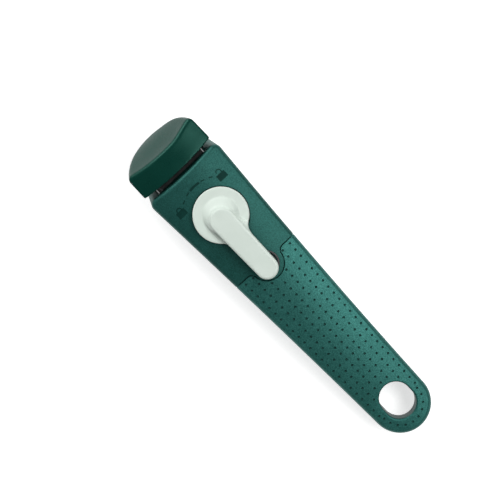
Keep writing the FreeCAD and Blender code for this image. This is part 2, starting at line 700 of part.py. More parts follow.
# ---- Sliding jaw: slide, head cap, pad, follower --------------------------------------------------------------
def tongue_form(inset):
    """The head's rounded outline seen from the front, as a long prism along X, drawn in by inset."""
    centre_z = crest_z + head_proud
    long_axis, short_axis = centre_z - head_bottom_z - inset, head_half_width - inset
    if long_axis >= short_axis:
        ellipse = Part.Ellipse(V(0, 0, centre_z - long_axis), V(0, short_axis, centre_z), V(0, 0, centre_z))
    else:
        ellipse = Part.Ellipse(V(0, short_axis, centre_z), V(0, 0, centre_z - long_axis), V(0, 0, centre_z))
    face = Part.Face(Part.Wire(ellipse.toShape()))
    prism = face.extrude(V(3 * FAR, 0, 0))
    prism.translate(V(-2.5 * FAR, 0, 0))
    skirt = block(-2.5 * FAR, FAR / 2, -short_axis, short_axis, centre_z, centre_z + 3)
    return fused(prism.common(block(-3 * FAR, FAR * 2, -FAR, FAR, -FAR, centre_z)), skirt)


def dish_form(extra):
    """The hollow cylinder that shapes the head's rear edge, grown by extra, leaning like the jaws."""
    lean = math.cos(math.radians(slant_deg))
    hollow = head_rear_dish * lean
    radius = (20.0 ** 2 + hollow ** 2) / (2 * hollow)
    reach = head_rear_gap + head_rear_dish - radius / lean
    start = V(front_plane_x(-20, reach), 0, -20)
    along = V(slant, 0, 1)
    along.normalize()
    return Part.makeCylinder(radius + extra, 90, start, along)


def head_blank(inset):
    """The head's outer form, drawn in by inset, without the rear openings."""
    ahead = head_depth - inset / math.cos(math.radians(slant_deg))
    slab = slanted_slab(head_rear_gap - 0.3, ahead, -5, crest_z + 8, FAR / 2)
    return slab.common(tongue_form(inset)).common(top_form(-head_proud + inset))


def head_cap():
    """The head's plastic cap: a thick hollow tongue, open at the rear for the hook and the slide."""
    step_z = plate_top_z + 0.2
    blank = head_blank(0)
    low = blank.cut(slanted_slab(-5, hook_front - 1.3, -5, step_z, FAR / 2))
    outer = low.cut(dish_form(0).common(halfspace(step_z, FAR)))

    def crest(edge):
        return all(abs(p.x - front_plane_x(p.z, head_depth)) < 0.02 and p.z > crest_z - 12
                   and abs(p.z - top_z(p.x, p.y, -head_proud)) < 0.03 for p in samples(edge))

    def tongue(edge):
        return all(abs(p.x - front_plane_x(p.z, head_depth)) < 0.05 for p in samples(edge)) and not crest(edge)

    outer = rounded(outer, head_round, lambda e: crest(e) or tongue(e))
    hollow = head_blank(head_wall)
    lower = hollow.common(halfspace(-5, step_z)).common(slanted_slab(-5, head_depth - head_wall, -5, FAR, FAR / 2))
    upper = hollow.common(halfspace(step_z, FAR)).cut(dish_form(head_wall))
    cap = outer.cut(fused(lower, upper))
    bosses = []
    cuts = []
    for y, z in head_screw_places:
        bosses.append(tilted_drum(2.5, hook_front + hook_thickness + 0.1, head_depth - 1.0, y, z))
        cuts.append(tilted_drum(small_screw_radius + thread_gap, hook_front, hook_front + 7.6, y, z))
    ribs = [block(front_plane_x(25, 13), front_plane_x(25, 7.6), s * 9 - 0.8, s * 9 + 0.8, step_z, crest_z)
            for s in (-1, 1)]
    bosses = [b.common(head_blank(1.0)) for b in bosses + ribs]
    return fused(cap, *bosses).cut(fused(*cuts))


def tilted_drum(radius, near, far, y, z):
    """A cylinder square to the jaws, between two distances ahead of the body's face, at a height z."""
    lean = math.cos(math.radians(slant_deg))
    normal = V(-lean, 0, math.sin(math.radians(slant_deg)))
    start = V(front_plane_x(z, hook_front), y, z) + normal * ((near - hook_front) * lean)
    return Part.makeCylinder(radius, (far - near) * lean, start, normal)


def jaw_slide():
    """The steel slide: flat plate, hook of the inner jaw, slots, and the yoke that the springs push."""
    front_x = front_plane_x(plate_top_z, hook_front)
    plate = block(front_x, wide_end_x, -plate_half_width, plate_half_width, plate_under_z, plate_top_z)
    link = slanted_slab(hook_front - 2, hook_front + hook_thickness, plate_under_z, plate_top_z, plate_half_width)
    tail = block(wide_end_x - 1, yoke_x + plate_thickness, -tail_half_width, tail_half_width,
                 plate_under_z, plate_top_z)
    end = block(yoke_x - 2.0, yoke_x + plate_thickness, -yoke_outer, yoke_outer, plate_under_z, plate_top_z)
    hook = slanted_slab(hook_front, hook_front + hook_thickness, hook_bottom_z, plate_top_z, plate_half_width)
    hook = hook.common(tongue_form(head_wall + sliding))
    legs = [block(yoke_x, yoke_x + plate_thickness, min(s * yoke_inner, s * yoke_outer),
                  max(s * yoke_inner, s * yoke_outer), rod_z - spring_radius - 1.0, plate_under_z) for s in (-1, 1)]
    clear = spindle_radius + stop_gap
    cuts = [drum(clear, 0, FAR, hub_x), drum(clear, 0, FAR, hub_x + jaw_travel)]
    cuts.append(block(hub_x, hub_x + jaw_travel, -clear, clear, 0, FAR))
    cuts.append(drum(follower_radius, 0, FAR, follower_x))
    cuts.append(block(tooth_front_x - 0.8, tooth_back_x + jaw_travel + stop_gap,
                      -tooth_half_width - stop_gap, tooth_half_width + stop_gap, 0, FAR))
    cuts += [rod_along_x(rod_radius + sliding, yoke_x - 1, yoke_x + 5, s * rod_y, rod_z) for s in (-1, 1)]
    cuts += [tilted_drum(small_screw_radius + 0.15, hook_front - 1, hook_front + 3, y, z) for y, z in head_screw_places]
    return fused(plate, link, tail, end, hook, *legs).cut(fused(*cuts))


def jaw_pad():
    """The silicone pad of the moving jaw, on the hook's rear face."""
    near = pad_proud + jaw_gap
    pad = slanted_slab(near, hook_front, hook_bottom_z + 0.6, outer_pad_top_z, inner_pad_half_width)
    pad = pad.common(tongue_form(head_wall + 0.8))
    return pad.cut(fused(*rib_grooves(near, outer_pad_bottom_z, outer_pad_top_z)))


def head_screws():
    screws = []
    for y, z in head_screw_places:
        shank = tilted_drum(small_screw_radius, hook_front, hook_front + 7.2, y, z)
        screws.append(fused(shank, tilted_drum(small_head_radius, hook_front - 1.2, hook_front, y, z)))
    return Part.Compound(screws)


def follower_pin():
    pin = drum(follower_radius, groove_z + 0.2, plate_top_z, follower_x)
    return fused(pin, drum(follower_radius + 0.9, plate_top_z, plate_top_z + 0.6, follower_x))


def follower_roller():
    return ring(follower_radius + running, roller_radius, groove_z + 0.2, cam_top_z - 0.15, follower_x)


# ---- Cam ------------------------------------------------------------------------------------------------------
def groove_form():
    """The scroll groove: its radius grows evenly with the angle, so each degree moves the jaw alike."""
    half = roller_radius + 0.1
    sweep = math.radians(lever_angle)
    overrun = math.radians(1.0)
    steps = 16
    left, right, ends = [], [], []
    for k in range(steps + 1):
        turn = -overrun + (sweep + 2 * overrun) * k / steps
        radius = cam_start_radius + jaw_travel * turn / sweep
        growth = jaw_travel / sweep
        angle = math.pi + turn
        out = V(math.cos(angle), math.sin(angle), 0)
        side = V(-math.sin(angle), math.cos(angle), 0)
        along = out * growth + side * radius
        along.normalize()
        across = V(-along.y, along.x, 0)
        centre = V(hub_x, 0, groove_z) + out * radius
        left.append(centre + across * half)
        right.append(centre - across * half)
        ends.append((centre, along))
    first, last = Part.BSplineCurve(), Part.BSplineCurve()
    first.interpolate(left)
    last.interpolate(right)
    start_cap = Part.Arc(right[0], ends[0][0] - ends[0][1] * half, left[0]).toShape()
    end_cap = Part.Arc(left[-1], ends[-1][0] + ends[-1][1] * half, right[-1]).toShape()
    wire = Part.Wire(Part.__sortEdges__([first.toShape(), end_cap, last.toShape(), start_cap]))
    return Part.Face(wire).extrude(V(0, 0, groove_depth + 5))


def flat_sided(radius, flat, z0, z1):
    """A round bar with two flats that face +Y and -Y."""
    return drum(radius, z0, z1, hub_x).common(block(hub_x - 9, hub_x + 9, -flat, flat, z0 - 1, z1 + 1))


def scroll_cam():
    cam = drum(cam_radius, cam_under_z, cam_top_z, hub_x)
    cam = rounded(cam, 0.5, lambda e: e.Closed and e.Length > 2)
    return cam.cut(fused(groove_form(), flat_sided(spindle_radius + running, spindle_flat + running, 0, FAR)))


# ---- Lever, spindle and their spring --------------------------------------------------------------------------
def arm_half_width(x):
    """Half width of the lever's arm at x, between its root circle and its tip circle."""
    return arm_root_radius - (arm_root_radius - arm_tip_radius) * (x - hub_x) / arm_reach


def neck_web(side):
    """The fillet in plan between disc and arm, sloping up from the disc's rim to the arm."""
    reach = disc_radius + neck_round
    half = arm_half_width(hub_x + disc_radius)
    cx, cy = hub_x + math.sqrt(reach ** 2 - (half + neck_round) ** 2), half + neck_round
    share = disc_radius / reach
    on_disc = V(hub_x + (cx - hub_x) * share, side * cy * share, arm_under_z)
    on_arm = V(cx, side * half, arm_under_z)
    aim = V((on_disc.x + on_arm.x) / 2 - cx, (on_disc.y + on_arm.y) / 2 - side * cy, 0)
    aim.normalize()
    middle = V(cx, side * cy, arm_under_z) + aim * neck_round
    foot, middle_foot = V(cx, 0, arm_under_z), V(hub_x, 0, arm_under_z)
    edges = [Part.makeLine(middle_foot, on_disc), Part.Arc(on_disc, middle, on_arm).toShape()]
    edges += [Part.makeLine(on_arm, foot), Part.makeLine(foot, middle_foot)]
    web = Part.Face(Part.Wire(edges)).extrude(V(0, 0, arm_top_z - arm_under_z))
    slope = Part.makeCone(cx - hub_x + 2, arm_root_radius, lever_shoulder_z - disc_top_z, V(hub_x, 0, disc_top_z))
    return web.common(fused(slope, drum(cx - hub_x + 2, arm_under_z, disc_top_z, hub_x)))


def lever():
    """The lever: a round hub disc under a cone, and a flat-topped arm with a round tip."""
    profile = [(0, disc_under_z), (disc_radius, disc_under_z), (disc_radius, disc_top_z), (skirt_radius, disc_top_z),
               (arm_root_radius, lever_shoulder_z), (arm_root_radius, arm_top_z), (0, arm_top_z)]
    hub = polygon_face([V(hub_x + r, 0, z) for r, z in profile]).revolve(V(hub_x, 0, 0), V(0, 0, 1), 360)

    def at_radius(edge, radius):
        return edge.Closed and all(abs(math.hypot(p.x - hub_x, p.y) - radius) < 0.01 for p in samples(edge))

    hub = rounded(hub, skirt_foot_round, lambda e: at_radius(e, skirt_radius))
    hub = rounded(hub, lever_edge_round, lambda e: at_radius(e, disc_radius))
    end_x = hub_x + arm_reach
    lean = (arm_root_radius - arm_tip_radius) / arm_reach
    straight = math.sqrt(1 - lean ** 2)

    def on_circle(x, radius, side):
        return V(x + radius * lean, side * radius * straight, arm_under_z)

    root = [on_circle(hub_x, arm_root_radius, s) for s in (1, -1)]
    tip = [on_circle(end_x, arm_tip_radius, s) for s in (1, -1)]
    edges = [Part.makeLine(root[0], tip[0])]
    edges.append(Part.Arc(tip[0], V(end_x + arm_tip_radius, 0, arm_under_z), tip[1]).toShape())
    edges += [Part.makeLine(tip[1], root[1]), Part.makeLine(root[1], root[0])]
    arm = Part.Face(Part.Wire(edges)).extrude(V(0, 0, arm_top_z - arm_under_z))
    arm = rounded(arm, lever_edge_round, lambda e: all(
        abs(p.z - arm_under_z) < 0.01 and p.x > root[0].x + 0.01 for p in samples(e)[1:4]))
    body = fused(hub, arm, neck_web(1), neck_web(-1))
    body = rounded(body, lever_round, lambda e: all(abs(p.z - arm_top_z) < 0.01 for p in samples(e)))
    cuts = [ring(hub_boss_radius, hub_recess_radius, 0, hub_recess_z, hub_x)]
    cuts.append(drum(insert_radius, 0, insert_top_z, hub_x))
    return body.cut(fused(*cuts))


def spindle():
    """The steel spindle: insert head in the lever, round neck, flats for the cam, grooved foot."""
    flats_top = cam_top_z + press_travel + sliding
    head = drum(insert_radius, disc_under_z + 0.5, insert_top_z, hub_x)
    neck = drum(spindle_radius, flats_top, disc_under_z + 0.5, hub_x)
    flats = flat_sided(spindle_radius, spindle_flat, cam_under_z - 0.05, flats_top)
    foot = drum(spindle_foot_radius, clip_z - 1.2, cam_under_z - 0.05, hub_x)
    return fused(head, neck, flats, foot).cut(ring(clip_bore, 5, clip_z - 0.02, clip_z + clip_thickness + 0.02, hub_x))


def e_clip():
    clip = ring(clip_bore, 3.7, clip_z, clip_z + clip_thickness, hub_x)
    return clip.cut(block(hub_x, hub_x + 5, -1.3, 1.3, 0, FAR))


def thrust_washer():
    return ring(hub_boss_radius + 0.15, hub_recess_radius - 0.15, hub_recess_z - 0.05 - washer_thickness,
                hub_recess_z - 0.05, hub_x)


def hub_spring():
    return coil(hub_x, 0, pocket_floor_z + 0.03, hub_recess_z - washer_thickness - 0.08,
                (hub_boss_radius + hub_recess_radius) / 2, 0.4, 2.5)


# ---- Button and latch -----------------------------------------------------------------------------------------
def release_button():
    cap = drum(button_radius, button_flange_z + 0.1, button_z, button_x)
    cap = rounded(cap, 0.4, lambda e: all(abs(p.z - button_z) < 0.01 for p in samples(e)))
    flange = drum(button_flange_radius, button_flange_z + 0.1, button_ledge_z - 0.1, button_x)
    return fused(cap, flange, drum(tooth_length / 2 - 0.1, tooth_top_z + 0.1, button_flange_z + 0.1, button_x))


def latch_pawl():
    """The latch: a pivoted arm whose tooth stands in the slide's window and stops it at full travel."""
    arm = block(tooth_front_x, pivot_x, -2.9, 2.9, pawl_z - 1.5, pawl_z + 1.5)
    hub = rod_along_y(3.0, -4.0, 4.0, pivot_x, pawl_z)
    tooth = block(tooth_front_x, tooth_back_x, -tooth_half_width, tooth_half_width, pawl_z, tooth_top_z)
    peg = drum(1.2, pawl_z - 3.0, pawl_z - 1.0, pawl_spring_x)
    pawl = fused(arm, hub, tooth, peg)
    return pawl.cut(rod_along_y(pawl_pin_radius + running, -10, 10, pivot_x, pawl_z))


def pawl_spring():
    return coil(pawl_spring_x, 0, wall + 0.03, pawl_z - 1.5 - 0.03, 2.0, 0.3, 7)


# ---- All nodes ------------------------------------------------------------------------------------------------
def all_nodes():
    shell = shell_form()
    return {
        "front_cover": front_cover(shell),
        "mark_inlay": mark_inlay(),
        "grip_cover": grip_cover(shell),
        "base": base(shell),
        "chassis": chassis(),
        "left_rail": rail(1),
        "right_rail": rail(-1),
        "hub_bush": hub_bush(),
        "deck_bush": deck_bush(),
        "cam_washer": cam_washer(),
        "outer_pad": outer_pad(),
        "spring_rods": spring_rods(),
        "pawl_pin": pawl_pin(),
        "base_screws": base_screws(),
        "rear_screws": cover_screws_rear(),
        "deck_screws": deck_screws(),
        "grip_screws": grip_screw_set(),
        "head_cap": head_cap(),
        "jaw_slide": jaw_slide(),
        "jaw_pad": jaw_pad(),
        "head_screws": head_screws(),
        "follower_pin": follower_pin(),
        "follower_roller": follower_roller(),
        "jaw_springs": jaw_springs(),
        "scroll_cam": scroll_cam(),
        "lever": lever(),
        "spindle": spindle(),
        "e_clip": e_clip(),
        "thrust_washer": thrust_washer(),
        "hub_spring": hub_spring(),
        "release_button": release_button(),
        "latch_pawl": latch_pawl(),
        "pawl_spring": pawl_spring(),
    }


os.makedirs("parts", exist_ok=True)
for name, shape in all_nodes().items():
    shape.exportStep(f"parts/{name}.step")
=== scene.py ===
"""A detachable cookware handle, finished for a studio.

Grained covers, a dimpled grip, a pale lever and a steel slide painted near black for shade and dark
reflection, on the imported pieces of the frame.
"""

import json
import math

import bmesh
import bpy
from mathutils import Matrix, Vector


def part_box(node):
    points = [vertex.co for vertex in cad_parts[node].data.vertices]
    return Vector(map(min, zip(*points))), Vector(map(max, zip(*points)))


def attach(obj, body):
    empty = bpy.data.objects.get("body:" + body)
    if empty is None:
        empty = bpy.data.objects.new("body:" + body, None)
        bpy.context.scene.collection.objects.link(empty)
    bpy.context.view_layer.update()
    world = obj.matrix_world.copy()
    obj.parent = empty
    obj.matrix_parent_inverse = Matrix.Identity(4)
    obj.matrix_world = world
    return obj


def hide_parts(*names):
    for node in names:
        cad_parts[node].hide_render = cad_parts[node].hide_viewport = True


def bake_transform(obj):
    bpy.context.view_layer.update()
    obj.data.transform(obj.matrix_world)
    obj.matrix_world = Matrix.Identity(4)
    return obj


MM = 0.001

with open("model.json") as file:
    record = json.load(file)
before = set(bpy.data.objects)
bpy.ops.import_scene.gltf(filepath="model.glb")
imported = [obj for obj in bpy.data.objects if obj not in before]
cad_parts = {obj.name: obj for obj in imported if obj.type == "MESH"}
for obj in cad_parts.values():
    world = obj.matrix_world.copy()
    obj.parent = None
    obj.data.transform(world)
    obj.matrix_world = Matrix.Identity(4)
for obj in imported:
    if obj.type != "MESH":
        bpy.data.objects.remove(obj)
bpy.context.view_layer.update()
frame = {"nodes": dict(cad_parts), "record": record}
NODES = frame["nodes"]


# ---- Places worked out from the frame ------------------------------------------------------------
def middle(node):
    low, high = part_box(node)
    return (low + high) / 2


HUB = middle("spindle")
BUTTON = middle("release_button")
GRIP_LOW, GRIP_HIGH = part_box("grip_cover")
COVER_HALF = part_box("front_cover")[1].y
TAIL_ROUND = 15.6 * MM              # round end of the grip, seen from above
TAIL_X = GRIP_HIGH.x - TAIL_ROUND

HOLE_RADIUS = 8.25 * MM             # ends of the oval hang hole
HOLE_REACH = 1.6 * MM               # from its middle to the middle of each end
HOLE_X = GRIP_HIGH.x - (7.8 + 9.85) * MM

HEAD_HALF = 22.2 * MM
FRONT = Vector((-72.3, 0, 29.5)) * MM       # a point of the plane that the body's front face lies in
LEAN = math.radians(21)


def hole_distance(x, y):
    """Distance of a spot from the middle line of the oval hang hole."""
    nearest = min(max(x, HOLE_X - HOLE_REACH), HOLE_X + HOLE_REACH)
    return math.hypot(x - nearest, y)


# ---- Shader expressions --------------------------------------------------------------------------
class Wire:
    """One output socket, so that shader maths can be written as an expression."""

    def __init__(self, tree, socket):
        self.tree, self.socket = tree, socket

    def maths(self, operation, *others):
        values = dict(enumerate((self, *others)))
        return self.tree.node("ShaderNodeMath", {"operation": operation}, values)

    def __add__(self, other):
        return self.maths("ADD", other)

    __radd__ = __add__

    def __mul__(self, other):
        return self.maths("MULTIPLY", other)

    __rmul__ = __mul__

    def __sub__(self, other):
        return self.maths("SUBTRACT", other)

    def __rsub__(self, other):
        return self.tree.node("ShaderNodeMath", {"operation": "SUBTRACT"}, {0: other, 1: self})

    def step(self, low, high, out_low=0.0, out_high=1.0):
        """Smooth rise from out_low to out_high as the value goes from low to high."""
        values = {0: self, 1: low, 2: high, 3: out_low, 4: out_high}
        return self.tree.node("ShaderNodeMapRange", {"interpolation_type": "SMOOTHSTEP"}, values)


class Finish:
    """One material and the nodes that make it."""

    def __init__(self, name):
        self.material = bpy.data.materials.new(name)
        self.material.use_nodes = True
        self.nodes = self.material.node_tree.nodes
        self.links = self.material.node_tree.links
        self.nodes.clear()
        self.place = self.node("ShaderNodeTexCoord", output="Object")

    def node(self, kind, settings=None, values=None, output=0):
        made = self.nodes.new(kind)
        for key, value in (settings or {}).items():
            setattr(made, key, value)
        for key, value in (values or {}).items():
            socket = made.inputs[key]
            if isinstance(value, Wire):
                self.links.new(value.socket, socket)
            else:
                socket.default_value = value
        return Wire(self, made.outputs[output])

    def noise(self, size, detail=2.0, roughness=0.5, stretch=(1, 1, 1)):
        """Noise whose grains are about size metres across, longer where stretch is below 1."""
        inputs = {"Vector": self.place, "Scale": stretch}
        spread = self.node("ShaderNodeMapping", {"vector_type": "POINT"}, inputs)
        values = {"Vector": spread, "Scale": 1 / size, "Detail": detail, "Roughness": roughness}
        return self.node("ShaderNodeTexNoise", None, values)

    def cells(self, size, feature="F1"):
        values = {"Vector": self.place, "Scale": 1 / size}
        return self.node("ShaderNodeTexVoronoi", {"feature": feature}, values, "Distance")

    def blend(self, factor, first, second):
        made = self.nodes.new("ShaderNodeMix")
        made.data_type = "RGBA"
        for key, value in (("Factor", factor), (6, first), (7, second)):
            socket = made.inputs[key]
            if isinstance(value, Wire):
                self.links.new(value.socket, socket)
            elif isinstance(value, (tuple, list)):
                socket.default_value = (*value, 1.0)
            else:
                socket.default_value = value
        return Wire(self, made.outputs[2])

    def axes(self):
        made = self.nodes.new("ShaderNodeSeparateXYZ")
        self.links.new(self.place.socket, made.inputs[0])
        return [Wire(self, made.outputs[k]) for k in range(3)]

    def crevice(self, reach):
        """1 in the open, falling towards 0 where the surface lies in a narrow groove or corner."""
        return self.node("ShaderNodeAmbientOcclusion", {"samples": 8}, {"Distance": reach}, "AO")

    def own(self, name):
        """A number that the mesh carries on its faces under a name."""
        settings = {"attribute_type": "GEOMETRY", "attribute_name": name}
        return self.node("ShaderNodeAttribute", settings, None, "Fac")

    def bump(self, height, depth, strength=1.0, under=None):
        values = {"Strength": strength, "Distance": depth, "Height": height}
        if under is not None:
            values["Normal"] = under
        return self.node("ShaderNodeBump", None, values)

    def surface(self, colour, roughness, normal=None, **fixed):
        """Ends the material in a Principled surface; fixed holds plain values by socket name."""
        values = {"Base Color": colour, "Roughness": roughness}
        if normal is not None:
            values["Normal"] = normal
        values.update({key.replace("_", " "): value for key, value in fixed.items()})
        shader = self.node("ShaderNodeBsdfPrincipled", None, values, "BSDF")
        self.node_output(shader)
        return self.material

    def node_output(self, shader):
        made = self.nodes.new("ShaderNodeOutputMaterial")
        self.links.new(shader.socket, made.inputs["Surface"])


# ---- Finishes ------------------------------------------------------------------------------------
SHADE_REACH = 4 * MM                 # how far a groove's walls may stand apart and still take painted shade
SHADE_TONE = 0.16                    # painted shade against the deep colour
PIT_SHADE = 0.68
GLINT_FROM, GLINT_TO = 14.55 * MM, 14.75 * MM         # where the slide's painted dark gives way to painted glints at its cut ends


def moulded(name, deep, pale, grain_size, grain_depth, roughness, gloss=0.5, shade_strength=0.8, pearl=0.0):
    """A grained moulding: fine pits, paler rubbed grains, slow unevenness in colour, and painted shade in
    grooves, dimples and the hang hole's wall.
    """
    finish = Finish(name)
    grain = finish.noise(grain_size, 3.0, 0.6)
    pits = finish.cells(grain_size * 1.7)
    slow = finish.noise(9 * MM, 2.0)
    height = grain * 0.6 + pits * 0.5
    mottle = finish.noise(grain_size * 1.8, 2.0, 0.7)
    shade = mottle.step(0.32, 0.68) * 0.8 + slow.step(0.3, 0.7) * 0.2
    # Painted shade: darker where occlusion finds a groove or corner, and on faces that carry the pit
    # attribute.
    crevice_shade = (1 - finish.crevice(SHADE_REACH).step(0.2, 0.85)) * shade_strength
    painted_shade = crevice_shade.maths("MAXIMUM", finish.own("pit") * PIT_SHADE)
    colour = finish.blend(painted_shade, finish.blend(shade, deep, pale), tuple(SHADE_TONE * c for c in deep))
    rough = grain.step(0.3, 0.7, roughness - 0.06, roughness + 0.06) + slow.step(0.35, 0.65, -0.02, 0.03)
    normal = finish.bump(height, grain_depth, 1.0)
    return finish.surface(colour, rough, normal, Specular_IOR_Level=gloss, Metallic=pearl)


def brushed(name, colour, along=(0.04, 1, 1), roughness=0.3):
    """Sheet or turned steel with fine lines along one way and faint cloudy stains."""
    finish = Finish(name)
    lines = finish.noise(0.12 * MM, 2.0, 0.6, along)
    cloud = finish.noise(5 * MM, 3.0)
    shade = lines.step(0.3, 0.7) * 0.6 + cloud.step(0.3, 0.7) * 0.4
    tint = finish.blend(shade, tuple(0.72 * c for c in colour), colour)
    rough = lines.step(0.3, 0.7, roughness - 0.06, roughness + 0.1) + cloud.step(0.4, 0.7, 0.0, 0.06)
    normal = finish.bump(lines, 0.004 * MM, 0.7)
    return finish.surface(tint, rough, normal, Metallic=1.0)


def dark_painted_steel(name):
    """Sheet steel painted near black for the shade and dark reflection it lies in, rolled lines along it,
    with its cut ends painted bright as glints.
    """
    finish = Finish(name)
    lines = finish.noise(0.15 * MM, 2.0, 0.6, (1, 0.05, 1))
    cloud = finish.noise(4 * MM, 3.0)
    across = finish.axes()[1].maths("ABSOLUTE")
    # Painted glints: the cut ends at either side are coloured bright steel.
    painted_glint = across.step(GLINT_FROM, GLINT_TO)
    shade = lines.step(0.3, 0.7) * 0.6 + cloud.step(0.4, 0.7) * 0.4
    # Painted shade and dark reflection: the slide is coloured near black.
    painted_dark = finish.blend(shade, (0.010, 0.011, 0.011), (0.035, 0.037, 0.037))
    colour = finish.blend(painted_glint, painted_dark, (0.62, 0.64, 0.64))
    rough = lines.step(0.3, 0.7, 0.30, 0.42) - painted_glint * 0.1
    return finish.surface(colour, rough, finish.bump(lines, 0.004 * MM, 0.7), Metallic=1.0)


def silicone(name):
    """Soft black rubber with a little pale dust."""
    finish = Finish(name)
    dust = finish.noise(0.35 * MM, 3.0, 0.7)
    slow = finish.noise(4 * MM)
    dusty = dust.step(0.5, 0.9) * slow.step(0.3, 0.7)
    colour = finish.blend(dusty, (0.003, 0.0035, 0.0035), (0.010, 0.011, 0.011))
    normal = finish.bump(dust, 0.01 * MM, 0.6)
    return finish.surface(colour, dust.step(0.3, 0.7, 0.55, 0.72), normal, Specular_IOR_Level=0.2)


def satin(name, deep, pale, roughness, gloss=0.5):
    """A smooth satin moulding with the faintest flow marks."""
    finish = Finish(name)
    fine = finish.noise(0.25 * MM, 2.0)
    slow = finish.noise(7 * MM, 3.0)
    colour = finish.blend(slow.step(0.3, 0.7), deep, pale)
    rough = fine.step(0.3, 0.7, roughness - 0.03, roughness + 0.05) + slow.step(0.3, 0.7, 0.0, 0.04)
    normal = finish.bump(fine * 0.7 + slow * 0.3, 0.005 * MM, 0.6)
    return finish.surface(colour, rough, normal, Specular_IOR_Level=gloss)


def finishes():
    """Every finish by the name of its slot in the record."""
    return {
        # The cover's colours are darker than the grip's: painted shade for the lesser light at the front of
        # the handle.
        "cover_plastic": moulded("cover_plastic", (0.007, 0.056, 0.047), (0.018, 0.104, 0.090),
                                 0.32 * MM, 0.035 * MM, 0.46, 0.2, 0.85, 0.5),
        "grip_plastic": moulded("grip_plastic", (0.011, 0.082, 0.071), (0.034, 0.164, 0.144),
                                0.34 * MM, 0.040 * MM, 0.46, 0.2, 0.85, 0.5),
        "base_plastic": moulded("base_plastic", (0.012, 0.060, 0.052), (0.022, 0.090, 0.080),
                                0.32 * MM, 0.035 * MM, 0.50, 0.3, 0.85, 0.3),
        "mark_ink": satin("mark_ink", (0.002, 0.026, 0.021), (0.003, 0.034, 0.028), 0.6, 0.08),
        "head_plastic": moulded("head_plastic", (0.0006, 0.034, 0.024), (0.0012, 0.044, 0.032),
                                0.22 * MM, 0.006 * MM, 0.32, 0.14, 0.4, 0.35),
        "lever_plastic": satin("lever_plastic", (0.61, 0.69, 0.63), (0.635, 0.715, 0.655), 0.42),
        "button_plastic": satin("button_plastic", (0.004, 0.005, 0.005), (0.007, 0.009, 0.009), 0.35),
        "sheet_steel": dark_painted_steel("sheet_steel"),
        "turned_steel": brushed("turned_steel", (0.60, 0.60, 0.59), (1, 1, 0.05), 0.26),
        "spring_steel": brushed("spring_steel", (0.42, 0.42, 0.43), (1, 1, 1), 0.3),
        "screw_steel": brushed("screw_steel", (0.50, 0.51, 0.52), (1, 1, 0.2), 0.32),
        "bush_bronze": brushed("bush_bronze", (0.55, 0.36, 0.17), (1, 1, 0.2), 0.4),
        "cam_plastic": satin("cam_plastic", (0.66, 0.65, 0.60), (0.72, 0.71, 0.67), 0.4),
        "rail_plastic": satin("rail_plastic", (0.66, 0.65, 0.60), (0.72, 0.71, 0.67), 0.4),
        "pad_silicone": silicone("pad_silicone"),
    }


FINISH = finishes()
SLOT = {entry["node"]: entry["material_slot"] for entry in frame["record"]["subparts"]}
BODIES = frame["record"]["behaviour"]["bodies"]
BODY = {node: body for body, members in BODIES.items() for node in members}


# ---- The crowned top -----------------------------------------------------------------------------
CREST_Z = 30.0 * MM
ACROSS = 65.0 * MM                  # crown radius across the handle
ALONG = 800.0 * MM                  # radius of the top along the handle
TOP_SHARE = 0.98                    # of the cover's half width that counts as top
TOP_GAP = 0.2 * MM                  # farthest that a corner of the top may lie from the crown
TOP_MATCH = 0.985                   # least agreement of its face with the crown's normal
BORE_SHADE = 0.62


def top_reach(y):
    return ALONG - ACROSS + math.sqrt(ACROSS ** 2 - y ** 2)


def top_z(x, y):
    """Height of the crowned top over the handle's plan."""
    return CREST_Z - ALONG + math.sqrt(top_reach(y) ** 2 - (x - HUB.x) ** 2)


def top_normal(x, y):
    near = 0.02 * MM
    along = (top_z(x + near, y) - top_z(x - near, y)) / (2 * near)
    across = (top_z(x, y + near) - top_z(x, y - near)) / (2 * near)
    return Vector((-along, -across, 1)).normalized()


def settle_top(mesh):
    """Gives each corner on the crowned top the crown's own normal, so that cuts leave no smears."""
    own = [Vector(n.vector) for n in mesh.corner_normals]
    faces = [0] * len(mesh.loops)
    for face in mesh.polygons:
        for k in face.loop_indices:
            faces[k] = face.index
    for k, loop in enumerate(mesh.loops):
        x, y, z = mesh.vertices[loop.vertex_index].co
        if abs(y) > TOP_SHARE * COVER_HALF or abs(z - top_z(x, y)) > TOP_GAP:
            continue
        crown = top_normal(x, y)
        if mesh.polygons[faces[k]].normal.dot(crown) > TOP_MATCH:
            own[k] = crown
    mesh.normals_split_custom_set(own)


def darken_bore(mesh):
    """Marks the wall of the hang hole, which sees little light, with a share of the pit shade."""
    layer = mesh.attributes.get("pit") or mesh.attributes.new("pit", "FLOAT", "FACE")
    for face in mesh.polygons:
        x, y, _ = face.center
        if abs(face.normal.z) < 0.6 and hole_distance(x, y) < HOLE_RADIUS + 0.2 * MM:
            layer.data[face.index].value = BORE_SHADE


# ---- Pieces --------------------------------------------------------------------------------------
# Each spring's axis (0 for x, 2 for z) and what pushes its high end.
SPRING_ENDS = {"jaw_springs": (0, "jaw"), "hub_spring": (2, "collar"), "pawl_spring": (2, "pawl")}


def placed(name, data):
    """A new object with this data, in the scene."""
    piece = bpy.data.objects.new(name, data)
    bpy.context.scene.collection.objects.link(piece)
    return piece


def mount(piece, node):
    """Puts a piece on its node's body; a spring instead keeps its place baked into its mesh, on no body."""
    if node in SPRING_ENDS:
        low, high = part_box(node)
        along, pushed = SPRING_ENDS[node]
        start, end = middle(node), middle(node)
        start[along], end[along] = low[along], high[along]
        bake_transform(piece)
    else:
        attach(piece, BODY[node])


def merged_copy(node, name):
    """A copy of a CAD node's mesh with its loose triangles joined."""
    mesh = NODES[node].data.copy()
    mesh.name = name
    mesh.materials.clear()
    work = bmesh.new()
    work.from_mesh(mesh)
    bmesh.ops.remove_doubles(work, verts=work.verts, dist=0.0005 * MM)
    work.to_mesh(mesh)
    work.free()
    return mesh


